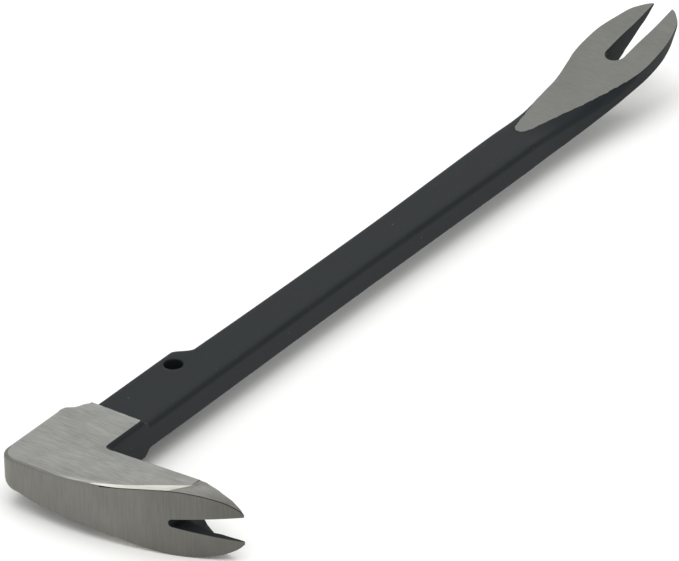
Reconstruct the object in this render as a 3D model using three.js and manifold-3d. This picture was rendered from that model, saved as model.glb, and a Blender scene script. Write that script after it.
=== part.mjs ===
// One-piece forged pry bar with two nail claws: a hooked claw whose tips spread up and down,
// and a straight claw whose tips spread sideways. All lengths are in millimetres.
//
// Drawing axes: x runs along the shank, from the rocker face of the head to the straight tips.
// y runs from the back of the head (0) to the hooked tips (-REACH). z is up from mid-thickness.

import * as THREE from 'three';
import Module from 'manifold-3d';
import { LoftGeometry } from 'three/addons/geometries/LoftGeometry.js';
import { mergeVertices } from 'three/addons/utils/BufferGeometryUtils.js';

// Overall sizes
const LENGTH = 250;
const REACH = 62;

// Shank
const SHANK_WIDTH = 12.4;
const SHANK_THICKNESS = 6.8;
const SHANK_FRONT = 20.1; // from the back of the head to the shank's claw-side edge
const EDGE_RADIUS = 1.2;

// Wider neck with the hanging hole
const NECK_WIDTH = 16;
const NECK_END = 60.5;
const NECK_STEP = 4.5; // length over which the neck narrows to the shank
const HOLE_DIAMETER = 4.6;
const HOLE_X = 56.3;
const HOLE_FROM_EDGE = 4.3;

// Head block
const HEAD_THICKNESS = 10.2;
const HEAD_LENGTH = 30.2; // rocker face to the step down to the neck
const HEAD_STEP = 1.8;
const HEEL_RADIUS = 4.5;
const BACK_CORNER = 5.8; // length of the sloping corner behind the head
const INNER_RADIUS = 1.6;

// Hooked claw
const CLAW_ROOT = 16.2; // rocker face to the inner face, beside the shank
const CLAW_THICKEST = 17.6; // the same where the tips start to taper
const TAPER_LENGTH = 16.4;
const TIP_SETBACK = 12.5; // how far the tips hook back from the rocker face
const ROCKER_FLAT = 15; // length of rocker face that is flat, from the back of the head
const LIP_SPREAD = 17.4; // greatest height across the two lips
const LIP_FROM_TIP = 13.5;
const TIP_SPREAD = 8.4;
const FACET_SLOPE = 0.375; // rise of the flared lips for each millimetre towards the rocker
const INNER_SPREAD = 13.8; // greatest height across the hook's inner edges, past the flat sides
const SCOOP_FLOOR = 2.4; // width of the floor of the hollow behind the notch
const NOTCH_EDGE = 2.9; // thickness left beside the notch, two thirds of the way to its root
const NOTCH_LENGTH = 16.2;
const NOTCH_ROOT_RADIUS = 1.05;
const NOTCH_MOUTH = 6.6;

// Straight claw
const BLADE_LENGTH = 64; // from the tips to where the shank starts to change
const BLADE_WIDTH = 20.2;
const BLADE_RISE = 7.2; // how far the ground face climbs above the shank at the tips
const BLADE_CROWN = 3.3; // how much thicker the blade is along its middle than at its edges
const TIP_EDGE = 0.3;
const SLOT_WIDTH = 5.3;
const SLOT_LENGTH = 23.4;

// How finely curves are cut, and how far pieces and cutters run past what they meet
const FINE_STEP = 1;
const BLADE_STEP = 3.4;
const SHANK_STEP = 40;
const CORNER_STEPS = 3;
const CROWN_STEPS = 8;
const OVERRUN = 2;

// A smooth curve through [at, value] points, given in rising order and level at both ends.
function curveThrough(points) {
  return (at) => {
    const last = points.length - 1;
    if (at <= points[0][0]) return points[0][1];
    if (at >= points[last][0]) return points[last][1];
    const i = points.findIndex((point) => point[0] > at) - 1;
    const rate = (j) => (points[j + 1][1] - points[j][1]) / (points[j + 1][0] - points[j][0]);
    const slope = (j) => {
      if (j === 0 || j === last) return 0;
      const before = rate(j - 1);
      const after = rate(j);
      return before * after > 0 ? 2 * before * after / (before + after) : 0;
    };
    const span = points[i + 1][0] - points[i][0];
    const t = (at - points[i][0]) / span;
    const h = 1 - t;
    return h * h * (1 + 2 * t) * points[i][1] + t * t * (3 - 2 * t) * points[i + 1][1]
      + span * (h * h * t * slope(i) - t * t * h * slope(i + 1));
  };
}

// Stations every `step` millimetres or less, from `start` to `end`.
function stations(start, end, step) {
  const count = Math.ceil((end - start) / step);
  return Array.from({ length: count + 1 }, (_, i) => start + (end - start) * i / count);
}

// The bar's centre line sits level with the shank's middle.
const shankMiddle = -(SHANK_FRONT - SHANK_WIDTH / 2);
const shankTop = SHANK_THICKNESS / 2;

// Straight claw, measured from its tips towards the head.
const halfBlade = BLADE_WIDTH / 2;
const bladeHalfWidth = curveThrough([
  [0, SLOT_WIDTH / 2 + TIP_EDGE], [1.3, halfBlade * 0.45], [4.3, halfBlade * 0.69],
  [7.7, halfBlade * 0.81], [11.2, halfBlade * 0.905], [15, halfBlade * 0.97], [20, halfBlade],
  [29, halfBlade * 0.92], [36, halfBlade * 0.81], [44, halfBlade * 0.7],
  [BLADE_LENGTH, SHANK_WIDTH / 2],
]);
const bladeTop = curveThrough([
  [-12, shankTop + BLADE_RISE * 1.36], [0, shankTop + BLADE_RISE], [8, shankTop + BLADE_RISE * 0.77],
  [15, shankTop + BLADE_RISE * 0.63], [21.5, shankTop + BLADE_RISE * 0.46],
  [29, shankTop + BLADE_RISE * 0.29], [36, shankTop + BLADE_RISE * 0.195],
  [44, shankTop + BLADE_RISE * 0.11], [54, shankTop + BLADE_RISE * 0.03], [BLADE_LENGTH, shankTop],
]);
const bladeThickness = curveThrough([
  [0, TIP_EDGE], [6, SHANK_THICKNESS * 0.13], [8, SHANK_THICKNESS * 0.23], [10, SHANK_THICKNESS * 0.33],
  [14, SHANK_THICKNESS * 0.455], [20, SHANK_THICKNESS * 0.51], [26, SHANK_THICKNESS * 0.545],
  [32, SHANK_THICKNESS * 0.65], [36, SHANK_THICKNESS * 0.735], [40, SHANK_THICKNESS * 0.81],
  [46, SHANK_THICKNESS * 0.9], [BLADE_LENGTH, SHANK_THICKNESS],
]);
// The ground face is a leaf: its half width, its sideways shift, and the drop to the blade's edges.
const leafHalfWidth = curveThrough([
  [25, 1], [29, 0.95], [37, 0.85], [45, 0.74], [53, 0.52], [BLADE_LENGTH, 0.3],
]);
const leafShift = curveThrough([[35, 0], [42, 0.55], [50, 1.2], [60, 1.4], [BLADE_LENGTH + 10, 0]]);
const flankDrop = curveThrough([[23, 0.1], [29, 1.6], [36, 2.1], [46, 1.5], [BLADE_LENGTH, EDGE_RADIUS]]);
const bladeCrown = curveThrough([
  [0, BLADE_CROWN * 0.09], [2.7, BLADE_CROWN * 0.39], [5.2, BLADE_CROWN * 0.53], [8.9, BLADE_CROWN * 0.55],
  [12.4, BLADE_CROWN * 0.64], [14.5, BLADE_CROWN * 0.85], [17, BLADE_CROWN * 0.94], [23, BLADE_CROWN],
  [29, BLADE_CROWN * 0.88], [36, BLADE_CROWN * 0.58], [40, BLADE_CROWN * 0.39], [46, BLADE_CROWN * 0.18],
  [56, 0],
]);

// The neck's back edge steps in to the shank's.
const neckBack = curveThrough([
  [NECK_END, SHANK_FRONT - NECK_WIDTH], [NECK_END + NECK_STEP, SHANK_FRONT - SHANK_WIDTH],
]);

// One cross-section of the shank or the straight claw, anticlockwise seen from the straight tips.
function barSection(x) {
  const fromTip = LENGTH - x;
  const inBlade = fromTip < BLADE_LENGTH;
  const half = bladeHalfWidth(fromTip);
  const back = inBlade ? shankMiddle + half : -neckBack(x);
  const front = inBlade ? shankMiddle - half : -SHANK_FRONT;
  const top = bladeTop(fromTip);
  const bottom = top - bladeThickness(fromTip);
  const ease = THREE.MathUtils.smoothstep(fromTip, BLADE_LENGTH - 6, BLADE_LENGTH + 6);
  const drop = Math.min(flankDrop(fromTip), (top - bottom) * 0.45);
  const leaf = half * leafHalfWidth(fromTip);
  const shift = leafShift(fromTip);
  const round = Math.min(EDGE_RADIUS, (top - bottom) * 0.3, half * 0.2);
  const leafBack = THREE.MathUtils.lerp(shankMiddle + shift + leaf, back - round, ease);
  const leafFront = THREE.MathUtils.lerp(shankMiddle + shift - leaf, front + round, ease);
  // A corner bends from `from` to `to` about the point `about`.
  const corner = (from, about, to) => new THREE.QuadraticBezierCurve(from, about, to).getPoints(CORNER_STEPS);
  const at = (y, z) => new THREE.Vector2(y, z);
  const shoulder = THREE.MathUtils.lerp(top - drop * 0.6, top, ease);
  const crown = bladeCrown(fromTip);
  const underside = Array.from({ length: CROWN_STEPS - 1 }, (_, i) => {
    const y = THREE.MathUtils.lerp(back - round, front + round, (i + 1) / CROWN_STEPS);
    const share = (y - shankMiddle) / half;
    return at(y, bottom - crown * (1 - share * share));
  });
  const outline = [
    ...corner(at(Math.min(leafBack, back), top), at(back, shoulder), at(back, top - drop)),
    ...corner(at(back, bottom + round), at(back, bottom), at(back - round, bottom)),
    ...underside,
    ...corner(at(front + round, bottom), at(front, bottom), at(front, bottom + round)),
    ...corner(at(front, top - drop), at(front, shoulder), at(Math.max(leafFront, front), top)),
  ];
  return outline.map((point) => new THREE.Vector3(x, point.x, point.y)).reverse();
}

function makeBar() {
  const shankStart = NECK_END + NECK_STEP;
  const bladeStart = LENGTH - BLADE_LENGTH;
  const tipsStart = LENGTH - SLOT_LENGTH / 2;
  const places = [
    HEAD_LENGTH - OVERRUN,
    ...stations(NECK_END, shankStart, FINE_STEP),
    ...stations(shankStart + SHANK_WIDTH / 2, bladeStart - SHANK_WIDTH / 2, SHANK_STEP),
    ...stations(bladeStart, tipsStart, BLADE_STEP),
    ...stations(tipsStart + FINE_STEP, LENGTH, FINE_STEP),
  ];
  return new LoftGeometry(places.map(barSection), { capStart: true, capEnd: true });
}

// Hooked claw, measured from its tips towards the back of the head.
const headTop = HEAD_THICKNESS / 2;
const lipHeight = curveThrough([
  [0, TIP_SPREAD / 2], [0.8, TIP_SPREAD * 0.595], [2, TIP_SPREAD * 0.7], [5, LIP_SPREAD * 0.42],
  [9.5, LIP_SPREAD * 0.483], [LIP_FROM_TIP, LIP_SPREAD / 2], [21, LIP_SPREAD * 0.465],
  [32, LIP_SPREAD * 0.372],
  [REACH - ROCKER_FLAT, headTop],
]);
// Past the flat sides, the hook's inner edges rise and spread before they come in to the tips.
const innerHeight = curveThrough([
  [0, TIP_SPREAD * 0.47], [2, INNER_SPREAD * 0.4], [4, INNER_SPREAD * 0.475], [6, INNER_SPREAD * 0.492],
  [8, INNER_SPREAD * 0.496], [12, INNER_SPREAD * 0.464], [TAPER_LENGTH, headTop],
]);
// What the hollow behind the notch leaves of the hook's thickness, as a share of NOTCH_EDGE.
const scoopShare = curveThrough([
  [0, 0.1], [4, 0.28], [6, 0.41], [8, 0.66], [10, 0.97], [12, 1.24], [14, 2.1],
]);

// Depth of an arc that starts square to its run and has fallen `fall` by the end of it.
function arcDepth(along, run, fall) {
  const radius = (run * run + fall * fall) / (2 * fall);
  return radius - Math.sqrt(Math.max(radius * radius - along * along, 0));
}

const rockerFace = (out) => arcDepth(Math.max(out - ROCKER_FLAT, 0), REACH - ROCKER_FLAT, TIP_SETBACK);
const taperStart = REACH - TAPER_LENGTH;
const innerTaper = curveThrough([
  [0, TIP_SETBACK + TIP_EDGE], [4, TIP_SETBACK + TIP_EDGE * 2], [8, CLAW_THICKEST * 0.807],
  [12, CLAW_THICKEST * 0.898], [TAPER_LENGTH, CLAW_THICKEST],
]);
function innerFace(out) {
  if (out > taperStart) return innerTaper(REACH - out);
  const share = (out - SHANK_FRONT) / (taperStart - SHANK_FRONT);
  return THREE.MathUtils.lerp(CLAW_ROOT, CLAW_THICKEST, share);
}

// One cross-section of the hooked claws: the lips flare out to the rocker face, and from the
// notch's root on the inner side is hollowed, so that the edges of the notch are thin.
function clawSection(out) {
  const fromTip = REACH - out;
  const outer = rockerFace(out);
  const inner = innerFace(out);
  const lip = lipHeight(fromTip);
  const innerZ = out > taperStart ? innerHeight(fromTip) : headTop;
  const widest = inner - outer - TIP_EDGE / 3;
  const toEdge = out > taperStart ? widest : (lip - headTop) / FACET_SLOPE;
  const facet = THREE.MathUtils.clamp(toEdge, TIP_EDGE / 3, widest);
  const facetZ = THREE.MathUtils.lerp(lip, innerZ, facet / Math.max(toEdge, facet));
  const scoop = out > taperStart ? scoopShare(fromTip) * NOTCH_EDGE : inner - outer;
  const floor = Math.min(outer + scoop, inner);
  const ring = [[outer, lip], [outer + facet, facetZ], [inner, innerZ], [floor, SCOOP_FLOOR / 2]];
  const lower = ring.map(([x, z]) => [x, -z]).reverse();
  return [...ring, ...lower].map(([x, z]) => new THREE.Vector3(x, -out, z)).reverse();
}

function makeHookedClaw() {
  const places = [
    ...stations(ROCKER_FLAT, taperStart, BLADE_STEP),
    ...stations(taperStart + FINE_STEP / 2, REACH, FINE_STEP),
  ];
  return new LoftGeometry(places.map(clawSection), { capStart: true, capEnd: true });
}

// The flat block between the two, with its heel rounded and its back corner sloping to the neck.
function makeHeadBlock() {
  const end = HEAD_LENGTH + HEAD_STEP;
  const neckBackEdge = SHANK_FRONT - NECK_WIDTH;
  const plan = new THREE.Shape();
  plan.moveTo(0, -HEEL_RADIUS);
  plan.lineTo(0, -ROCKER_FLAT - OVERRUN);
  plan.lineTo(CLAW_ROOT, -SHANK_FRONT - INNER_RADIUS);
  const corner = [CLAW_ROOT + INNER_RADIUS, -SHANK_FRONT - INNER_RADIUS];
  plan.absarc(...corner, INNER_RADIUS, Math.PI, Math.PI / 2, true);
  plan.lineTo(end, -SHANK_FRONT);
  plan.lineTo(end, -neckBackEdge);
  plan.lineTo(HEAD_LENGTH, -neckBackEdge);
  plan.lineTo(HEAD_LENGTH - BACK_CORNER, 0);
  plan.lineTo(HEEL_RADIUS, 0);
  plan.absarc(HEEL_RADIUS, -HEEL_RADIUS, HEEL_RADIUS, Math.PI / 2, Math.PI, false);
  const extrusion = { depth: HEAD_THICKNESS, bevelEnabled: false, curveSegments: 6 };
  const block = new THREE.ExtrudeGeometry(plan, extrusion);
  block.translate(0, 0, -headTop);

  // The block's ends are cut to this side view: the step to the neck, above and below.
  const foot = shankTop - EDGE_RADIUS;
  const clear = headTop + OVERRUN;
  const side = new THREE.Shape([
    new THREE.Vector2(-OVERRUN, -clear), new THREE.Vector2(HEAD_LENGTH - OVERRUN, -clear),
    new THREE.Vector2(HEAD_LENGTH, -headTop), new THREE.Vector2(end, -foot),
    new THREE.Vector2(end, foot), new THREE.Vector2(HEAD_LENGTH, headTop),
    new THREE.Vector2(HEAD_LENGTH - OVERRUN, clear), new THREE.Vector2(-OVERRUN, clear),
  ]);
  const width = SHANK_FRONT + INNER_RADIUS + 2 * OVERRUN;
  const cutter = new THREE.ExtrudeGeometry(side, { depth: width, bevelEnabled: false });
  cutter.rotateX(Math.PI / 2);
  cutter.translate(0, OVERRUN, 0);
  return { block, cutter };
}

// V-shaped nail notch through the hooked claw, drawn in the y-z plane and cut along x.
function makeNotch() {
  const root = REACH - NOTCH_LENGTH + NOTCH_ROOT_RADIUS;
  const beyond = REACH + OVERRUN;
  const flare = (NOTCH_MOUTH / 2 - NOTCH_ROOT_RADIUS) / (REACH - root);
  const lean = Math.atan(flare);
  const mouth = NOTCH_ROOT_RADIUS + flare * (beyond - root);
  const shape = new THREE.Shape();
  shape.moveTo(-beyond, mouth);
  shape.lineTo(-beyond, -mouth);
  shape.absarc(-root, 0, NOTCH_ROOT_RADIUS, lean - Math.PI / 2, Math.PI / 2 - lean, false);
  const depth = CLAW_THICKEST + 2 * OVERRUN;
  const notch = new THREE.ExtrudeGeometry(shape, { depth, bevelEnabled: false, curveSegments: 8 });
  const turn = new THREE.Matrix4().makeBasis(
    new THREE.Vector3(0, 1, 0), new THREE.Vector3(0, 0, 1), new THREE.Vector3(1, 0, 0),
  );
  notch.applyMatrix4(turn);
  notch.translate(-OVERRUN, 0, 0);
  return notch;
}

// Round-ended nail slot through the straight claw, open at the tips.
function makeSlot() {
  const radius = SLOT_WIDTH / 2;
  const root = LENGTH - SLOT_LENGTH + radius;
  const shape = new THREE.Shape();
  shape.moveTo(LENGTH + OVERRUN, shankMiddle + radius);
  shape.lineTo(root, shankMiddle + radius);
  shape.absarc(root, shankMiddle, radius, Math.PI / 2, 3 * Math.PI / 2, false);
  shape.lineTo(LENGTH + OVERRUN, shankMiddle - radius);
  const depth = SHANK_THICKNESS + BLADE_RISE + 2 * OVERRUN;
  const slot = new THREE.ExtrudeGeometry(shape, { depth, bevelEnabled: false, curveSegments: 12 });
  slot.translate(0, 0, -shankTop - OVERRUN);
  return slot;
}

function makeHole() {
  const radius = HOLE_DIAMETER / 2;
  const hole = new THREE.CylinderGeometry(radius, radius, SHANK_THICKNESS + OVERRUN, 32);
  hole.rotateX(Math.PI / 2);
  hole.translate(HOLE_X, -(SHANK_FRONT - NECK_WIDTH + HOLE_FROM_EDGE), 0);
  return hole;
}

const wasm = await Module();
wasm.setup();

function toSolid(geometry) {
  const bare = new THREE.BufferGeometry().copy(geometry);
  bare.deleteAttribute('normal');
  bare.deleteAttribute('uv');
  const merged = mergeVertices(bare, 1e-4);
  return new wasm.Manifold(new wasm.Mesh({
    numProp: 3,
    vertProperties: new Float32Array(merged.attributes.position.array),
    triVerts: new Uint32Array(merged.index.array),
  }));
}

function toGeometry(solid) {
  const mesh = solid.getMesh();
  const geometry = new THREE.BufferGeometry();
  geometry.setAttribute('position', new THREE.BufferAttribute(mesh.vertProperties, 3));
  geometry.setIndex(new THREE.BufferAttribute(mesh.triVerts, 1));
  return geometry;
}

const head = makeHeadBlock();
const headSolid = toSolid(head.block).intersect(toSolid(head.cutter));
const forging = toSolid(makeBar())
  .add(headSolid)
  .add(toSolid(makeHookedClaw()))
  .subtract(toSolid(makeNotch()))
  .subtract(toSolid(makeSlot()))
  .subtract(toSolid(makeHole()));

const steel = new THREE.MeshStandardMaterial({ color: 0x3b3d3f, roughness: 0.5, metalness: 1 });
const bar = new THREE.Mesh(toGeometry(forging).toNonIndexed(), steel);
bar.geometry.computeVertexNormals();
bar.name = 'forged_bar';

// The origin is under the middle of the bar's bounding box, on its lowest level.
bar.position.set(-LENGTH / 2, REACH / 2, LIP_SPREAD / 2);

const group = new THREE.Group();
group.add(bar);

export default group;
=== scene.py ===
import math

import bpy
import numpy as np
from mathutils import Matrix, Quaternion, Vector
from mathutils.geometry import delaunay_2d_cdt


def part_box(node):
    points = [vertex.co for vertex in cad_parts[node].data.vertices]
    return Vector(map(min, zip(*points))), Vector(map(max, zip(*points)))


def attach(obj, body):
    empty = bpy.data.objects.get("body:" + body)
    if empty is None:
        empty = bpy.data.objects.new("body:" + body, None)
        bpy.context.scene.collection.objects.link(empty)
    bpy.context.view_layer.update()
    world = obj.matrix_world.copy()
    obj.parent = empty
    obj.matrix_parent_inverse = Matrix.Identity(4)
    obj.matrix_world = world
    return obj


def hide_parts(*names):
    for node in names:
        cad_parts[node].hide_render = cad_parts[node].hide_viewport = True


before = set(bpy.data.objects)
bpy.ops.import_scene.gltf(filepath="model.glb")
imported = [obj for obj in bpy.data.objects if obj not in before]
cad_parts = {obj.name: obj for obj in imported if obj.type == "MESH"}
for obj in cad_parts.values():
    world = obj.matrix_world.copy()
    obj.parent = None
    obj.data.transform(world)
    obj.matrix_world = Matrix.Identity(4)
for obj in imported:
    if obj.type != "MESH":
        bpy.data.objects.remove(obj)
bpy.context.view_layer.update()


# The bar is one forging of tool steel: a shank, a hooked claw and a straight claw. Sizes are in
# millimetres: x from the rocker face to the straight tips, y from the back of the head (0) out
# to the hooked tips (negative), z from mid-thickness. Smooth lines go through a few knots.
LENGTH = 250
REACH = 62


def curve(at, knots):
    """The height at `at` of a smooth line through the knots: cubic pieces, each knot's slope the
    harmonic mean of the rises beside it, level at both ends and wherever the line turns back."""
    place, value = np.array(knots, float).T
    rise = np.diff(value) / np.diff(place)
    turning = rise[:-1] * rise[1:]
    slope = np.zeros(len(place))
    slope[1:-1] = np.where(turning > 0, 2 * turning / np.where(turning > 0, rise[:-1] + rise[1:], 1), 0)
    at = np.clip(at, place[0], place[-1])
    i = np.clip(np.searchsorted(place, at, side="right") - 1, 0, len(place) - 2)
    span = place[i + 1] - place[i]
    t = (at - place[i]) / span
    h = 1 - t
    ends = h * h * (1 + 2 * t) * value[i] + t * t * (3 - 2 * t) * value[i + 1]
    return ends + span * (h * h * t * slope[i] - t * t * h * slope[i + 1])


# The head and its hooked claw, whose lips flare out to a slanting ground band, coloured near white as a
# painted highlight.
# `out` is the distance from the back of the head towards the hooked tips.
HEAD_TOP = 5.1
ROCKER_FLAT = 15
TIP_SETBACK = 12.5
TIP_EDGE = 0.3
CLAW_ROOT = 16.2
CLAW_THICKEST = 17.6
SHANK_FRONT = 20.1
CREASE = 45.6
HOLLOW_START = 42.5
LIP_HEIGHT = 8.65
FACET_SLOPE = 0.375
FACET_START = 25.5
FACET_GROWTH = 0.78


def arc_depth(along, length, fall):
    """How far an arc has turned aside at `along`, when it starts straight and falls `fall` in
    `length`: its radius less the root of the radius squared less the distance squared."""
    radius = (length * length + fall * fall) / (2 * fall)
    return radius - np.sqrt(radius * radius - np.clip(along, 0, length) ** 2)


def rocker_x(out):
    """The rocker face seen from above: flat behind the shank, then an arc back to the tips."""
    return arc_depth(out - ROCKER_FLAT, REACH - ROCKER_FLAT, TIP_SETBACK)


def inner_x(out):
    """The hook's inner edge: nearly straight out of the corner, then in to the tips."""
    share = np.clip((out - SHANK_FRONT) / (CREASE - SHANK_FRONT), 0, 1)
    straight = CLAW_ROOT + (CLAW_THICKEST - CLAW_ROOT) * share
    taper = curve(out, [(CREASE, CLAW_THICKEST), (47, 17.2), (48, 16.7), (50, 15.8), (52, 15.0),
                        (54, 14.2), (56, 13.5), (58, 13.05), (60, 12.9),
                        (REACH, TIP_SETBACK + TIP_EDGE)])
    return np.where(out < CREASE, straight, taper)


def inner_z(out):
    """Height of the hook's inner edge: level with the flat side, then rising as the claws spread."""
    return curve(out, [(CREASE, HEAD_TOP), (47, 5.55), (48, 5.85), (50, 6.2), (52, 6.55), (54, 6.8),
                       (56, 6.8), (58, 6.6), (60, 5.6), (61.2, 4.8), (REACH, 4.0)])


def hollow_x(out, z):
    """The hollow behind the notch: a floor that leaves the hook thin, wide near the notch's root
    and narrow towards the tips, and straight sides that slope back from it to the inner edges."""
    floor_half = curve(out, [(HOLLOW_START, 3.2), (45, 4.5), (49.5, 5.1), (52, 4.6), (54, 3.0), (57, 1.2)])
    left = curve(out, [(HOLLOW_START, 17.2), (44, 11), (45.5, 7), (47, 5.0), (49.5, 3.6), (52, 2.8),
                       (54, 1.9), (56, 1.2), (58, 0.8), (60, 0.5), (REACH, TIP_EDGE)])
    floor = np.minimum(rocker_x(out) + left, inner_x(out))
    share = np.clip((np.abs(z) - floor_half) / (inner_z(out) - floor_half), 0, 1)
    return floor + (inner_x(out) - floor) * share


def lip(out):
    """Half the height across the lips of the hooked claw, which flare out and come in at the tips."""
    return curve(out, [(6, HEAD_TOP), (19.6, 5.5), (25, 5.95), (31, 6.5), (41.7, 8.15),
                       (46.7, LIP_HEIGHT), (48.5, LIP_HEIGHT), (52, 8.4), (57, 7.3), (60, 5.9),
                       (61.2, 5.0), (62, 4.2)])


def facet_width(out):
    """Width of the band along the lip: the lip's rise above the flat side over the band's slope,
    and no more than a fixed share of the distance from the point where the band starts."""
    return np.minimum((lip(out) - HEAD_TOP) / FACET_SLOPE, (out - FACET_START) * FACET_GROWTH)


# The straight claw, which climbs out of the shank's top as it widens, and thins to a chisel edge.
# `d` is the distance back from its tips. Its ground patch is a leaf that ends in a round point.
SHANK_TOP = 3.4
BLADE_AXIS = 13.9
BLADE_LENGTH = 64
BLADE_RISE = 7.2
LEAF_LENGTH = 60.5


def blade_half(d):
    """Half the width of the straight claw."""
    return curve(d, [(0, 2.95), (0.5, 3.7), (1.3, 4.65), (4.3, 7.15), (7.7, 8.35), (11.2, 9.25),
                     (15, 9.85), (20.5, 10.1), (29, 9.3), (36, 8.2), (44, 7.1), (50, 6.55),
                     (60, 6.2), (BLADE_LENGTH, 6.2)])


def blade_top(d):
    """Height of the straight claw's ground face: the shank's top and a falling share of the rise."""
    return SHANK_TOP + BLADE_RISE * curve(d, [
        (-12, 1.36), (0, 1), (8, 0.77), (15, 0.63), (21.5, 0.46), (29, 0.29), (36, 0.195),
        (44, 0.11), (54, 0.03), (BLADE_LENGTH, 0)])


def blade_thickness(d):
    """Thickness of the straight claw: a chisel edge at its tips, the full shank behind."""
    return curve(d, [(0, TIP_EDGE), (4.5, 0.65), (6, 0.9), (8, 1.55), (10, 2.25), (12, 2.75),
                     (14, 3.1), (17, 3.4), (20, 3.45), (26, 3.7), (29, 3.95), (32, 4.4), (36, 5.0),
                     (40, 5.5), (46, 6.1), (52, 6.35), (BLADE_LENGTH, 6.5), (150, 2 * SHANK_TOP)])


def blade_crown(d):
    """How much thicker the straight claw is along its middle than at its edges."""
    return curve(d, [(0, 0.3), (2.7, 1.3), (5.2, 1.8), (8.9, 1.8), (12.4, 2.1), (14.5, 2.8),
                     (17, 3.1), (23, 3.3), (29, 2.9), (36, 1.9), (40, 1.3), (46, 0.6), (56, 0)])


def leaf_half(d):
    """Half the width of the leaf-shaped ground patch."""
    return curve(d, [(24, 10.6), (25.5, 9.75), (29, 8.8), (33, 7.7), (37, 6.8), (41, 6.05),
                     (45, 5.25), (49, 4.25), (53, 3.3), (57, 2.4), (58.8, 1.85), (59.8, 1.3),
                     (60.3, 0.8), (LEAF_LENGTH, 0)])


def leaf_middle(d):
    """The leaf's centre line, which strays towards the back of the bar."""
    return -BLADE_AXIS + curve(d, [(35, 0), (42, 0.55), (50, 1.2), (60, 1.4), (70, 1.4)])


def wobble(at):
    """The unevenness of a hand-ground border, about a tenth of a millimetre: three sine waves."""
    return 0.07 * np.sin(at * 1.7) + 0.05 * np.sin(at * 4.1 + 1) + 0.03 * np.sin(at * 9.7 + 2)


def leaf_edge(d, side):
    """Distance from the leaf's centre line to its uneven border, on the side +1 or -1."""
    return leaf_half(d) + wobble(d + side)


# The bar's skin is two heights over the plan, one from above and one from below. The head ends in
# a short slope down to the shank, from HEAD_LENGTH to HEAD_FOOT, and the hook lies before HOOK_END.
HEAD_LENGTH = 30.2
HEAD_FOOT = 31.9
HOOK_END = 20
CREASE_BLEND = 3
LEAST_FLANK = 0.05
FLANK_BEND = 1.35


def top_height(x, y):
    """Height of the upper surface, before any edge is rounded. On the head it is the flat side, or
    the plane that falls from the lip where that is higher, and past the crease a straight line
    from the lip to the inner edge. On the bar it is the claw's climb less its flanks' fall."""
    d = LENGTH - x
    out = -y
    flare = lip(out) - FACET_SLOPE * (x - rocker_x(out))
    flat = np.maximum(HEAD_TOP, np.where(x < HOOK_END, flare, 0))
    across = np.clip((x - rocker_x(out)) / np.maximum(inner_x(out) - rocker_x(out), TIP_EDGE), 0, 1)
    ruled = lip(out) + (inner_z(out) - lip(out)) * across
    past = np.clip((out - CREASE) / CREASE_BLEND, 0, 1)
    past = past * past * (3 - 2 * past) * (x < HOOK_END)
    head = flat + (ruled - flat) * past
    fall = np.clip((x - HEAD_LENGTH) / (HEAD_FOOT - HEAD_LENGTH), 0, 1)
    aside = y - leaf_middle(d)
    beside = np.abs(aside) - leaf_half(d)
    room = blade_half(d) - leaf_half(d) - (leaf_middle(d) + BLADE_AXIS) * np.sign(aside)
    share = np.clip(beside / np.maximum(room, LEAST_FLANK), 0, 1)
    flank = curve(d, [(23, 0), (29, 1.3), (36, 1.9), (46, 1.4), (54, 0.7), (LEAF_LENGTH, 0.15),
                      (BLADE_LENGTH, 0)])
    above = blade_top(d) - flank * np.where(d < BLADE_LENGTH, share ** FLANK_BEND, 0)
    return np.where(x < HEAD_LENGTH, head, np.maximum(HEAD_TOP * (1 - fall), 0) + above * fall)


def bottom_height(x, y):
    """Height of the lower surface: the head's upper one mirrored, and under the bar its thickness
    and a crown that is full on the centre line and falls with the square of the distance."""
    d = LENGTH - x
    share = np.clip((y + BLADE_AXIS) / blade_half(d), -1, 1)
    above = np.where(d < BLADE_LENGTH, blade_top(d), SHANK_TOP)
    under = above - blade_thickness(d) - blade_crown(d) * (1 - share ** 2)
    fall = np.clip((x - HEAD_LENGTH) / (HEAD_FOOT - HEAD_LENGTH), 0, 1)
    head = -top_height(np.minimum(x, HEAD_LENGTH - 0.01), y)
    return np.where(x < HEAD_LENGTH, head, -HEAD_TOP * (1 - fall) + under * fall)


# The outline is followed anticlockwise from the heel, seen from above. Each of its rows has the
# radius of the edge above and of the one below, the wall's finish, and whether it has the hollow.
BLACK, SIDE, ROCKER, FACET, LEAF, TIP = range(6)
PLAIN, HOOK = range(2)
HEEL_RADIUS = 4.5
INNER_RADIUS = 1.6
SHANK_END = LENGTH - BLADE_LENGTH
SLOT_HALF = 2.65
SLOT_ROOT = 20.75
HOLE_AT = (56.3, -8.4)
HOLE_RADIUS = 2.3
HOLE_EDGE = 0.3
SHARP_EDGE = 0.1
INNER_EDGE = 0.15
RAMP_EDGE = 1.0
FRONT_EDGE = 1.1
SHANK_EDGE = 1.2
HEEL_EDGE = 3.6
CORNER_STEPS = 14
HEEL_STEPS = 18
LEAST_GAP = 0.02


def run(x, y, upper, lower, finish, shape=PLAIN):
    """Part of the outline as rows of x, y, the two edge radii, the wall's finish and its shape."""
    return np.stack(np.broadcast_arrays(x, y, upper, lower, finish, shape), -1).astype(float)


def turn(centre, radius, start, end, steps):
    """Points on an arc from one angle to another in degrees: the centre and the radius times the
    angle's cosine and sine."""
    angle = np.radians(np.linspace(start, end, steps))
    return centre[0] + radius * np.cos(angle), centre[1] + radius * np.sin(angle)


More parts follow.
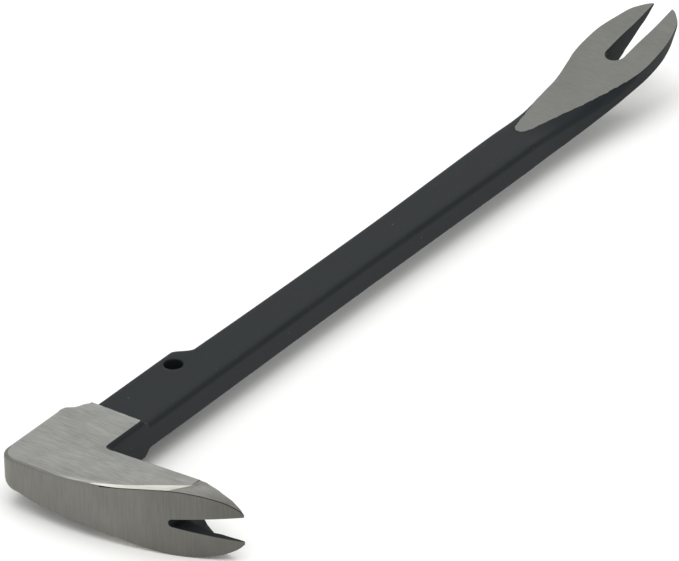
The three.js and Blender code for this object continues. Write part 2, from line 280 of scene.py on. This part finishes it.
rocker_out = np.concatenate([np.arange(HEEL_RADIUS, 44, 0.55), np.arange(44, REACH - 0.1, 0.3), [REACH]])
rocker_upper = curve(rocker_out, [(8, 0.7), (24, 0.6), (34, 0.2), (62, 0.16)])
rocker_lower = curve(rocker_out, [
    (HEEL_RADIUS, HEEL_EDGE), (7, 2.7), (10, 1.5), (14, 0.9), (24, 0.6), (34, 0.14)])
hook_out = np.concatenate([
    np.arange(REACH - 0.05, 44, -0.35), np.arange(44, SHANK_FRONT + INNER_RADIUS, -0.6)])
corner_centre = (CLAW_ROOT + INNER_RADIUS, -SHANK_FRONT - INNER_RADIUS)
corner_x, corner_y = turn(corner_centre, INNER_RADIUS, 180, 90, CORNER_STEPS)
corner_upper = np.clip(np.linspace(-0.1, 1.6, CORNER_STEPS), INNER_EDGE, FRONT_EDGE)
corner_lower = np.linspace(INNER_EDGE, FRONT_EDGE, CORNER_STEPS)
front_x = np.concatenate([np.arange(18.2, 60, 0.7), np.arange(60, SHANK_END, 1.4)])
front_y = -curve(front_x, [(30, SHANK_FRONT), (115, 19.75), (SHANK_END, SHANK_FRONT)])
front_upper = np.where(front_x < 30, FRONT_EDGE, SHANK_EDGE)
blade_d = np.concatenate([
    np.arange(BLADE_LENGTH, 12, -0.5), np.arange(12, 1.6, -0.3), np.arange(1.6, 0.05, -0.15), [0]])
blade_x = LENGTH - blade_d
blade_upper = curve(blade_d, [
    (0, SHARP_EDGE), (23, 0.12), (30, 0.5), (50, 1.0), (BLADE_LENGTH, SHANK_EDGE)])
blade_lower = curve(blade_d, [
    (0, SHARP_EDGE), (5, 0.15), (30, 0.6), (50, 1.0), (BLADE_LENGTH, SHANK_EDGE)])
slot_x = np.arange(LENGTH - 0.3, LENGTH - SLOT_ROOT, -0.4)
root_x, root_y = turn((LENGTH - SLOT_ROOT, -BLADE_AXIS), SLOT_HALF, -90, -270, 30)
back_x = np.concatenate([np.arange(SHANK_END, 70, -1.4), np.arange(70, 58, -0.4), np.arange(58, 31, -0.7)])
back_y = -curve(back_x, [(60.3, 4.1), (65, 7.7), (130, 8.35), (SHANK_END, 7.7)])
ramp_x = np.arange(30.8, 23.2, -0.25)
ramp_y = -curve(ramp_x, [(23.6, 0), (25.1, 0.3), (27, 2.3), (29, 3.2), (30.3, 4.05), (31, 4.1)])
head_back_x = np.arange(23, HEEL_RADIUS, -0.7)
head_back_lower = curve(head_back_x, [(4, HEEL_EDGE), (14, SHANK_EDGE)])
heel_x, heel_y = turn((HEEL_RADIUS, -HEEL_RADIUS), HEEL_RADIUS, 90, 180, HEEL_STEPS)
heel_upper = SHANK_EDGE - 0.5 * np.linspace(0, 1, HEEL_STEPS)
outline = np.concatenate([
    run(rocker_x(rocker_out), -rocker_out, rocker_upper, rocker_lower, ROCKER),
    run(inner_x(hook_out), -hook_out, INNER_EDGE, INNER_EDGE, BLACK, HOOK),
    run(corner_x, corner_y, corner_upper, corner_lower, BLACK),
    run(front_x, front_y, front_upper, FRONT_EDGE, BLACK),
    run(blade_x, -BLADE_AXIS - blade_half(blade_d), blade_upper, blade_lower, BLACK),
    run(slot_x, -BLADE_AXIS - SLOT_HALF, SHARP_EDGE, SHARP_EDGE, BLACK),
    run(root_x, root_y, SHARP_EDGE, SHARP_EDGE, BLACK),
    run(slot_x[::-1], -BLADE_AXIS + SLOT_HALF, SHARP_EDGE, SHARP_EDGE, BLACK),
    run(blade_x, -BLADE_AXIS + blade_half(blade_d), blade_upper, blade_lower, BLACK)[::-1],
    run(back_x, back_y, SHANK_EDGE, SHANK_EDGE, BLACK),
    run(ramp_x, ramp_y, RAMP_EDGE, RAMP_EDGE, BLACK),
    run(head_back_x, 0, SHANK_EDGE, head_back_lower, BLACK),
    run(heel_x[:-1], heel_y[:-1], heel_upper[:-1], HEEL_EDGE, ROCKER),
])
gap = np.linalg.norm(np.roll(outline[:, :2], -1, axis=0) - outline[:, :2], axis=1)
outline = outline[gap > LEAST_GAP]
hole_x, hole_y = turn(HOLE_AT, HOLE_RADIUS, 360, 0, 61)
hole = run(hole_x[:-1], hole_y[:-1], HOLE_EDGE, HOLE_EDGE, BLACK)

# The wall that stands on an outline, with a rounded edge above and below. RIM is how many steps
# go round an edge, and WALL how many go up between the two.
RIM = 6
WALL = 16


def edge_band(rows):
    """The wall along an outline with its two rounded edges, as a grid of points. Down each column
    the wall is level with the outline, and each edge is a quarter circle that moves inwards by
    r(1 - cos) as it climbs by r sin, with r no more than a third of the thickness there above,
    and three fifths of it below."""
    here = rows[:, :2]
    along = np.roll(here, -1, axis=0) - here
    along /= np.linalg.norm(along, axis=1)[:, None]
    before = np.roll(along, 1, axis=0)
    middle = along + before
    middle /= np.linalg.norm(middle, axis=1)[:, None]
    mitre = np.clip(np.sum(middle * along, axis=1), 0.5, 1)
    inward = np.stack([-middle[:, 1], middle[:, 0]], -1) / mitre[:, None]
    thick = top_height(*here.T) - bottom_height(*here.T)
    quarter = np.linspace(0, math.pi / 2, RIM + 1)

    def rim(radius, height, sign):
        inset = radius * (1 - np.cos(quarter))[:, None]
        place = here + inward * inset[..., None]
        drop = radius * (1 - np.sin(quarter))[:, None]
        return place, height(place[..., 0], place[..., 1]) - sign * drop

    top_place, top_z = rim(np.minimum(rows[:, 2], thick / 3), top_height, 1)
    low_place, low_z = rim(np.minimum(rows[:, 3], thick * 0.6), bottom_height, -1)
    share = np.linspace(0, 1, WALL + 1)[1:-1, None]
    wall_z = low_z[0] * (1 - share) + top_z[0] * share
    wall_place = np.broadcast_to(here, (WALL - 1,) + here.shape).copy()
    hooked = (rows[:, 5] == HOOK) & (here[:, 1] < -HOLLOW_START)
    wall_place[..., 0] = np.where(hooked, hollow_x(-here[:, 1], wall_z), wall_place[..., 0])
    place = np.concatenate([low_place[::-1], wall_place, top_place])
    z = np.concatenate([low_z[::-1], wall_z, top_z])
    return np.concatenate([place, z[..., None]], -1)


# Lines on the plan where the surface breaks: facet, crease, foot of the head, and the leaf. The
# crease is drawn as a thin strip of the black finish, which leans outwards and opens towards the
# inner edge: painted shade for the dark line along the step at the crease.
CREASE_FROM = 14.6


def crease_y(x):
    """The centre line of the painted shade strip: it starts just short of the crease and leans out as x
    grows.
    """
    return -(CREASE - 0.15 + 0.13 * (x - CREASE_FROM))


def crease_half(x):
    """Half the painted shade strip's width, which grows in proportion to the distance along it."""
    return 0.16 * (x - 14.4) / 3


facet_out = np.arange(FACET_START, 61, 0.5)
facet_x = rocker_x(facet_out) + facet_width(facet_out)
facet_line = np.stack([facet_x, -facet_out], -1)[facet_out < CREASE]
crease_x = np.arange(CREASE_FROM, 17.6, 0.3)
crease_lines = [np.stack([crease_x, crease_y(crease_x) + crease_half(crease_x) * s], -1) for s in (-1, 1)]
neck_y = np.arange(-19.2, -3, 0.5)
step_line = np.stack([HEAD_LENGTH + wobble(neck_y), neck_y], -1)
foot_line = np.stack([np.full(len(neck_y), HEAD_FOOT), neck_y], -1)
leaf_d = np.concatenate([np.arange(25, 58, 0.6), np.arange(58, LEAF_LENGTH - 0.01, 0.2)])
leaf_lines = [np.stack([LENGTH - leaf_d, leaf_middle(leaf_d) + s * leaf_edge(leaf_d, s)], -1)
              for s in (-1, 1)]

# The plan is filled with triangles between the outline and the hole. PATCHES are parts of it, as
# x from and to, y from and to, and the spacing of the points there: finer on the head and claws.
PATCHES = (
    (0, 32, -62, 0, 0.8),
    (32, 70, -21, 0, 1.2),
    (70, 186, -21, 0, 2.0),
    (186, 250, -25, -3, 0.8),
)
ROW_HEIGHT = 0.866
LINE_CLEARANCE = 0.18
GRID_CLEARANCE = 0.45
SAME_PLACE = 1e-5
CHUNKS = 24


def inside(places, ring):
    """Which places lie inside a closed ring: a line from the place crosses it an odd number of times."""
    x, y = places[:, 0, None], places[:, 1, None]
    x0, y0 = ring.T
    x1, y1 = np.roll(ring, -1, axis=0).T
    straddles = (y0 > y) != (y1 > y)
    crossing = x0 + (y - y0) * (x1 - x0) / np.where(y1 == y0, 1, y1 - y0)
    return np.sum(straddles & (x < crossing), axis=1) % 2 == 1


def clearance(places, line):
    """Distance from each place to the nearest point of a line of closely spaced points."""
    parts = [np.sqrt(np.min(np.sum((p[:, None] - line) ** 2, -1), axis=1))
             for p in np.array_split(places, CHUNKS)]
    return np.concatenate(parts)


def fill(ring, hole_ring, lines):
    """Triangles over the plan inside one ring and outside another, with edges along the lines:
    the Delaunay mesh of the rings, the lines, and rows of points that keep clear of both."""
    edge = np.arange(len(ring))
    hole_edge = np.arange(len(hole_ring))
    spans = [np.stack([edge, np.roll(edge, -1)], -1),
             len(ring) + np.stack([hole_edge, np.roll(hole_edge, -1)], -1)]
    rings = np.concatenate([ring, hole_ring])
    fixed = [rings]
    count = len(rings)
    for line in lines:
        keep = inside(line, ring) & (clearance(line, rings) > LINE_CLEARANCE)
        starts = np.flatnonzero(keep[:-1] & keep[1:])
        spans.append(count + np.stack([starts, starts + 1], -1))
        fixed.append(np.where(keep[:, None], line, line[keep][0]))
        count += len(line)
    fixed = np.concatenate(fixed)
    grids = []
    for x0, x1, y0, y1, step in PATCHES:
        gx, gy = np.meshgrid(np.arange(x0, x1, step), np.arange(y0, y1, step * ROW_HEIGHT))
        gx = gx + step / 2 * (np.arange(len(gx)) % 2)[:, None]
        grid = np.stack([gx.ravel(), gy.ravel()], -1)
        grid = grid[inside(grid, ring) & ~inside(grid, hole_ring)]
        grids.append(grid[clearance(grid, fixed) > step * GRID_CLEARANCE])
    every = np.concatenate([fixed, *grids])
    edges = np.concatenate(spans)
    flat, _, triangles, source, _, _ = delaunay_2d_cdt(
        [Vector(p) for p in every], [tuple(int(i) for i in e) for e in edges], [], 0, SAME_PLACE)
    flat = np.array([tuple(p) for p in flat])
    triangles = np.array(triangles)
    centres = flat[triangles].mean(axis=1)
    triangles = triangles[inside(centres, ring) & ~inside(centres, hole_ring)]
    return flat, triangles, np.array([o[0] if o else -1 for o in source])


def region(places, top):
    """The finish at places on the upper or the lower surface. Only the upper one has the leaf."""
    x, y = places.T
    d = LENGTH - x
    out = -y
    head = x < HEAD_LENGTH + wobble(y)
    facet = head & (x - rocker_x(out) < facet_width(out))
    tip = head & (out > CREASE + 0.1)
    # The thin black strip along the crease is painted shade for the dark line at the step there.
    painted_crease_shade = (x > CREASE_FROM) & (x < HOOK_END) & (np.abs(y - crease_y(x)) < crease_half(x))
    aside = y - leaf_middle(d)
    leaf = top & (d < LEAF_LENGTH) & (np.abs(aside) < leaf_edge(d, np.sign(aside)))
    finish = np.where(head, SIDE, BLACK)
    for where, kind in ((facet, FACET), (tip, TIP), (painted_crease_shade, BLACK), (leaf, LEAF)):
        finish = np.where(where, kind, finish)
    return finish


# First the walls with their edges, then the two surfaces, which share the walls' rims. A thin black
# line along the hook's lip is painted shade for the dark reflection in its rounded edge, and
# grinding has come round the back edge of the head.
PAINTED_LIP_SHADE_FROM = 29
GROUND_BACK_TO = 4.3
bands = [edge_band(outline), edge_band(hole)]
points = []
faces = []
finishes = []
rims = []
base = 0
for band, rows in zip(bands, (outline, hole)):
    levels, columns = band.shape[:2]
    index = base + np.arange(levels * columns).reshape(levels, columns)
    right = np.roll(index, -1, axis=1)
    quads = np.stack([index[:-1], right[:-1], right[1:], index[1:]], -1).reshape(-1, 4)
    points.append(band.reshape(-1, 3))
    faces += quads.tolist()
    wall = np.broadcast_to(rows[:, 4], (levels - 1, columns)).copy()
    # The top rim of the rocker wall towards the tips gets the black finish: painted shade for the dark
    # reflection in the lip's rounded edge.
    painted_lip_shade = (rows[:, 4] == ROCKER) & (rows[:, 1] < -PAINTED_LIP_SHADE_FROM)
    wall[-RIM:, painted_lip_shade] = BLACK
    ground_back = (rows[:, 4] == BLACK) & (rows[:, 0] < HEAD_LENGTH) & (rows[:, 1] > -GROUND_BACK_TO)
    wall[-RIM:, ground_back] = SIDE
    finishes.append(wall.ravel())
    rims.append((index[0], index[-1]))
    base += levels * columns

for top, level, height in ((True, -1, top_height), (False, 0, bottom_height)):
    lines = [facet_line, *crease_lines, step_line, foot_line] + (leaf_lines if top else [])
    flat, triangles, source = fill(bands[0][level, :, :2], bands[1][level, :, :2], lines)
    rim_index = np.concatenate([rims[0][level], rims[1][level]])
    on_rim = (source >= 0) & (source < len(rim_index))
    index = np.where(on_rim, 0, base + np.cumsum(~on_rim) - 1)
    index[on_rim] = rim_index[source[on_rim]]
    fresh = flat[~on_rim]
    points.append(np.column_stack([fresh, height(fresh[:, 0], fresh[:, 1])]))
    base += len(fresh)
    triangles = triangles if top else triangles[:, ::-1]
    faces += index[triangles].tolist()
    finishes.append(region(flat[triangles].mean(axis=1), top))

# From the drawing's axes to the frame's, in metres: the back of the head is at the box's +Y side,
# and mid-thickness is MIDDLE_HEIGHT above the box's floor.
MM = 0.001
MIDDLE_HEIGHT = 0.0087
low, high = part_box("forged_bar")
origin = np.array([low.x, high.y, low.z + MIDDLE_HEIGHT])
mesh = bpy.data.meshes.new("forged_bar_steel")
mesh.from_pydata((np.concatenate(points) * MM + origin).tolist(), [], faces)
mesh.polygons.foreach_set("material_index", np.concatenate(finishes).astype(np.int32))
bar = bpy.data.objects.new("forged_bar_steel", mesh)
bpy.context.scene.collection.objects.link(bar)


# The nail notch is sawn through the hook from the rocker face: a round root and two slanting
# walls. The cutter overruns the bar, so that it leaves no skin in front, behind or past the tips.
NOTCH_ROOT = 46.85
NOTCH_ROOT_RADIUS = 1.05
NOTCH_HALF_MOUTH = 3.3
NOTCH_OVERRUN = 3
NOTCH_DEPTH = 26
lean = math.degrees(math.atan((NOTCH_HALF_MOUTH - NOTCH_ROOT_RADIUS) / (REACH - NOTCH_ROOT)))
arc_out, arc_z = turn((NOTCH_ROOT, 0), NOTCH_ROOT_RADIUS, 270 - lean, 90 + lean, 25)
beyond = REACH + NOTCH_OVERRUN
mouth = NOTCH_ROOT_RADIUS + math.tan(math.radians(lean)) * (beyond - NOTCH_ROOT)
notch_out = np.concatenate([[beyond], arc_out, [beyond]])
notch_z = np.concatenate([[-mouth], arc_z, [mouth]])
near = np.stack([np.full(len(notch_out), -float(NOTCH_OVERRUN)), -notch_out, notch_z], -1)
far = near + np.array([NOTCH_DEPTH, 0, 0])
count = len(near)
walls = [[i, (i + 1) % count, count + (i + 1) % count, count + i] for i in range(count)]
ends = [list(range(count))[::-1], list(range(count, 2 * count))]
cutter_mesh = bpy.data.meshes.new("notch_cutter")
cutter_mesh.from_pydata((np.concatenate([near, far]) * MM + origin).tolist(), [], walls + ends)
cutter = bpy.data.objects.new("notch_cutter", cutter_mesh)
bpy.context.scene.collection.objects.link(cutter)


# The finishes. Each is a shader built from noise that is fixed to the bar, so that it gives the
# same marks each time. Sizes in them are in metres unless they are said to be millimetres.
STREAK_DEPTH = 0.02 * MM
ROUGHNESS_SPREAD = 0.06
# Object y in metres at which the painted shade towards the hooked tips is at its darkest.
PAINTED_SHADE_DARKEST_AT = -0.03
CLOUD_SIZE = 9 * MM
GRIT_SIZE = 0.5 * MM
GRIT_DEPTH = 0.05 * MM
SPECK_SIZE = 0.9 * MM


def linear(hex_colour):
    """An sRGB hex colour as linear light, with full opacity: a low value over 12.92, and any other
    offset by 0.055, scaled back and raised to 2.4."""
    part = [int(hex_colour[i:i + 2], 16) / 255 for i in (1, 3, 5)]
    return tuple(c / 12.92 if c <= 0.04045 else ((c + 0.055) / 1.055) ** 2.4 for c in part) + (1.0,)


def add(tree, kind, settings=None, **links):
    """Adds a node. Settings that name an input set it, and the others are the node's own."""
    node = tree.nodes.new(kind)
    for key, value in (settings or {}).items():
        if key in node.inputs:
            node.inputs[key].default_value = value
        else:
            setattr(node, key, value)
    for key, socket in links.items():
        tree.links.new(socket, node.inputs[key.replace("_", " ")])
    return node


def ground_steel(name, dark, light, roughness, grain, mottle, depth, painted_shade_to_tips=0.0):
    """Bare tool steel off a grinding belt: fine parallel scratches, so satin along one way.
    grain is the size of a scratch in millimetres along x, y and z, mottle the size of the cloudy
    patches in millimetres, depth how deep the scratches look, and the last argument how much
    painted shade darkens the steel towards the hooked tips."""
    material = bpy.data.materials.new(name)
    material.use_nodes = True
    tree = material.node_tree
    shader = tree.nodes["Principled BSDF"]
    shader.inputs["Metallic"].default_value = 1.0
    place = add(tree, "ShaderNodeTexCoord").outputs["Object"]
    fine = add(tree, "ShaderNodeMapping", {"Scale": [1 / (g * MM) for g in grain]}, Vector=place)
    streaks = add(tree, "ShaderNodeTexNoise", {"Scale": 1.0, "Detail": 3.0, "Roughness": 0.6},
                  Vector=fine.outputs["Vector"])
    clouds = add(tree, "ShaderNodeTexNoise", {"Scale": 1 / (mottle * MM), "Detail": 3.0}, Vector=place)
    both = add(tree, "ShaderNodeMix", {"data_type": "FLOAT", "Factor": 0.35},
               A=streaks.outputs["Fac"], B=clouds.outputs["Fac"])
    ramp = add(tree, "ShaderNodeValToRGB", Fac=both.outputs["Result"])
    ramp.color_ramp.elements[0].position = 0.34
    ramp.color_ramp.elements[0].color = linear(dark)
    ramp.color_ramp.elements[1].position = 0.66
    ramp.color_ramp.elements[1].color = linear(light)
    axes = add(tree, "ShaderNodeSeparateXYZ", Vector=place)
    # Painted shade: the colour is mixed towards black along -y, towards the hooked tips, standing in for
    # the darker surroundings that the curved rocker face reflects there.
    painted_tip_shade = add(tree, "ShaderNodeMapRange",
                 {"From Min": 0.0, "From Max": PAINTED_SHADE_DARKEST_AT, "To Min": 0.0, "To Max": painted_shade_to_tips},
                 Value=axes.outputs["Y"])
    shade = add(tree, "ShaderNodeMix", {"data_type": "RGBA", "B": (0.0, 0.0, 0.0, 1.0)},
                Factor=painted_tip_shade.outputs["Result"], A=ramp.outputs["Color"])
    tree.links.new(shade.outputs["Result"], shader.inputs["Base Color"])
    gloss = add(tree, "ShaderNodeMapRange",
                {"To Min": roughness - ROUGHNESS_SPREAD, "To Max": roughness + ROUGHNESS_SPREAD},
                Value=streaks.outputs["Fac"])
    tree.links.new(gloss.outputs["Result"], shader.inputs["Roughness"])
    bump = add(tree, "ShaderNodeBump", {"Strength": depth, "Distance": STREAK_DEPTH},
               Height=streaks.outputs["Fac"])
    tree.links.new(bump.outputs["Normal"], shader.inputs["Normal"])
    return material


def black_oxide():
    """Hot-blackened forging scale on steel: nearly black and faintly blue, with a low, soft and
    uneven sheen and a few slightly paler specks."""
    material = bpy.data.materials.new("black_oxide_on_forged_steel")
    material.use_nodes = True
    tree = material.node_tree
    shader = tree.nodes["Principled BSDF"]
    shader.inputs["Metallic"].default_value = 0.0
    shader.inputs["Specular IOR Level"].default_value = 0.2
    place = add(tree, "ShaderNodeTexCoord").outputs["Object"]
    clouds = add(tree, "ShaderNodeTexNoise", {"Scale": 1 / CLOUD_SIZE, "Detail": 4.0, "Roughness": 0.6},
                 Vector=place)
    grit = add(tree, "ShaderNodeTexNoise", {"Scale": 1 / GRIT_SIZE, "Detail": 2.0}, Vector=place)
    both = add(tree, "ShaderNodeMix", {"data_type": "FLOAT", "Factor": 0.4},
               A=clouds.outputs["Fac"], B=grit.outputs["Fac"])
    ramp = add(tree, "ShaderNodeValToRGB", Fac=both.outputs["Result"])
    ramp.color_ramp.elements[0].position = 0.35
    ramp.color_ramp.elements[0].color = linear("#0f1417")
    ramp.color_ramp.elements[1].position = 0.65
    ramp.color_ramp.elements[1].color = linear("#171d20")
    dust = add(tree, "ShaderNodeTexNoise", {"Scale": 1 / SPECK_SIZE, "Detail": 1.0}, Vector=place)
    speck = add(tree, "ShaderNodeMapRange", {"From Min": 0.77, "From Max": 0.84}, Value=dust.outputs["Fac"])
    speckled = add(tree, "ShaderNodeMix", {"data_type": "RGBA", "B": linear("#4c4f50")},
                   Factor=speck.outputs["Result"], A=ramp.outputs["Color"])
    tree.links.new(speckled.outputs["Result"], shader.inputs["Base Color"])
    gloss = add(tree, "ShaderNodeMapRange", {"To Min": 0.5, "To Max": 0.62}, Value=clouds.outputs["Fac"])
    tree.links.new(gloss.outputs["Result"], shader.inputs["Roughness"])
    bump = add(tree, "ShaderNodeBump", {"Strength": 0.2, "Distance": GRIT_DEPTH},
               Height=grit.outputs["Fac"])
    tree.links.new(bump.outputs["Normal"], shader.inputs["Normal"])
    return material


finish_materials = [
    # Black scale on the shank and all that was not ground: dark, with hardly a shine.
    black_oxide(),
    # The head's flat side: satin, with marks that run along the hook.
    ground_steel("belt_ground_steel_side", "#8c8d89", "#a7a8a3", 0.42, (0.35, 4, 0.5), 7, 0.2),
    # The rocker face: duller, with faint upright marks, and darker towards the tips as painted shade for
    # the darker surroundings that its curve reflects there.
    ground_steel("belt_ground_steel_rocker", "#72726d", "#82817c", 0.5, (0.4, 0.4, 7), 12, 0.12, 0.3),
    # The band along the lip: the smoothest steel, coloured near white as a painted highlight so that it
    # shines out.
    ground_steel("belt_ground_steel_facet_painted_highlight", "#f4f1e6", "#fffdf4", 0.3, (4, 4, 0.5), 9, 0.1),
    # The leaf on the straight claw: even and matt, with hardly a mark.
    ground_steel("belt_ground_steel_leaf", "#7c7d78", "#888984", 0.5, (0.4, 3, 0.6), 12, 0.08),
    # The hooked tips past the crease: more mottled than the side, and greyer as painted shade for the
    # darker surroundings that the tilted surface there reflects.
    ground_steel("belt_ground_steel_tip_painted_shade", "#6c6c66", "#8b8a83", 0.5, (0.5, 3, 0.5), 5, 0.15),
]
for material in finish_materials:
    mesh.materials.append(material)
    cutter_mesh.materials.append(material)

# The cut is made here and now, so that the bar is one closed mesh, and the notch's walls keep the
# first finish, which is black.
cut = bar.modifiers.new("notch", "BOOLEAN")
cut.operation = "DIFFERENCE"
cut.solver = "EXACT"
cut.object = cutter
cut.material_mode = "INDEX"
bpy.context.view_layer.update()
finished = bpy.data.meshes.new_from_object(bar.evaluated_get(bpy.context.evaluated_depsgraph_get()))
bar.modifiers.clear()
bar.data = finished
finished.name = "forged_bar_steel"
bpy.data.objects.remove(cutter)

# It is smooth all over, but sharp where it bends by more than SHARP_BEND degrees and where two
# finishes meet, which is where the edge's lowest and highest finish differ.
SHARP_BEND = 19
finished.polygons.foreach_set("use_smooth", np.ones(len(finished.polygons), bool))
finished.set_sharp_from_angle(angle=math.radians(SHARP_BEND))
loop_edge = np.zeros(len(finished.loops), np.int32)
finished.loops.foreach_get("edge_index", loop_edge)
kind = np.zeros(len(finished.polygons), np.int32)
finished.polygons.foreach_get("material_index", kind)
size = np.zeros(len(finished.polygons), np.int32)
finished.polygons.foreach_get("loop_total", size)
loop_kind = np.repeat(kind, size)
least = np.full(len(finished.edges), len(finish_materials))
most = np.full(len(finished.edges), -1)
np.minimum.at(least, loop_edge, loop_kind)
np.maximum.at(most, loop_edge, loop_kind)
sharp = np.zeros(len(finished.edges), bool)
finished.edges.foreach_get("use_edge_sharp", sharp)
finished.edges.foreach_set("use_edge_sharp", sharp | (least != most))

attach(bar, "root")
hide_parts("forged_bar")


# A plain floor of matt white paper under soft studio light: an even white world, a large soft box
# overhead, and a low card to one side that brightens the band along the lip.
FLOOR_HALF = 6
WORLD_LIGHT = 0.75
floor_mesh = bpy.data.meshes.new("floor")
floor_corners = [(FLOOR_HALF * i, FLOOR_HALF * j, 0) for i, j in ((-1, -1), (1, -1), (1, 1), (-1, 1))]
floor_mesh.from_pydata(floor_corners, [], [(0, 1, 2, 3)])
floor = bpy.data.objects.new("floor", floor_mesh)
bpy.context.scene.collection.objects.link(floor)
paper = bpy.data.materials.new("white_paper_sweep")
paper.use_nodes = True
paper.node_tree.nodes["Principled BSDF"].inputs["Base Color"].default_value = linear("#f5f5f3")
paper.node_tree.nodes["Principled BSDF"].inputs["Roughness"].default_value = 0.9
floor_mesh.materials.append(paper)

world = bpy.data.worlds.new("studio")
bpy.context.scene.world = world
world.use_nodes = True
world.node_tree.nodes["Background"].inputs["Color"].default_value = (1, 1, 1, 1)
world.node_tree.nodes["Background"].inputs["Strength"].default_value = WORLD_LIGHT


def softbox(name, place, side, power):
    """A square area light at a place in metres, turned to face the middle of the frame."""
    light = bpy.data.lights.new(name, "AREA")
    light.shape = "SQUARE"
    light.size = side
    light.energy = power
    lamp = bpy.data.objects.new(name, light)
    lamp.location = place
    lamp.rotation_euler = (-Vector(place)).to_track_quat("-Z", "Y").to_euler()
    bpy.context.scene.collection.objects.link(lamp)


softbox("overhead", (-0.2, -0.1, 1.6), 1.6, 18)
softbox("low_card_behind", (3.0, 1.85, 0.3), 2.0, 16)

# The camera looks down on the rocker face from beyond the hooked claw, nearly without perspective.
# Angles are in degrees, the lens and the sensor in millimetres, and the rest in metres.
AZIMUTH = math.radians(-52.689)
ELEVATION = math.radians(31.206)
ROLL = math.radians(-1.642)
DISTANCE = 2.11368
AIM = Vector((-0.012023, 0.01619, MIDDLE_HEIGHT))
LENS = 470.28
SENSOR = 36
back = Vector((math.sin(AZIMUTH) * math.cos(ELEVATION),
               -math.cos(AZIMUTH) * math.cos(ELEVATION),
               math.sin(ELEVATION)))
camera_data = bpy.data.cameras.new("camera")
camera_data.sensor_width = SENSOR
camera_data.lens = LENS
camera_data.clip_end = 50
camera = bpy.data.objects.new("camera", camera_data)
camera.rotation_mode = "QUATERNION"
camera.location = AIM + back * DISTANCE
camera.rotation_quaternion = back.to_track_quat("Z", "Y") @ Quaternion((0, 0, 1), ROLL)
bpy.context.scene.collection.objects.link(camera)
bpy.context.scene.camera = camera
bpy.context.scene.view_settings.view_transform = "Standard"
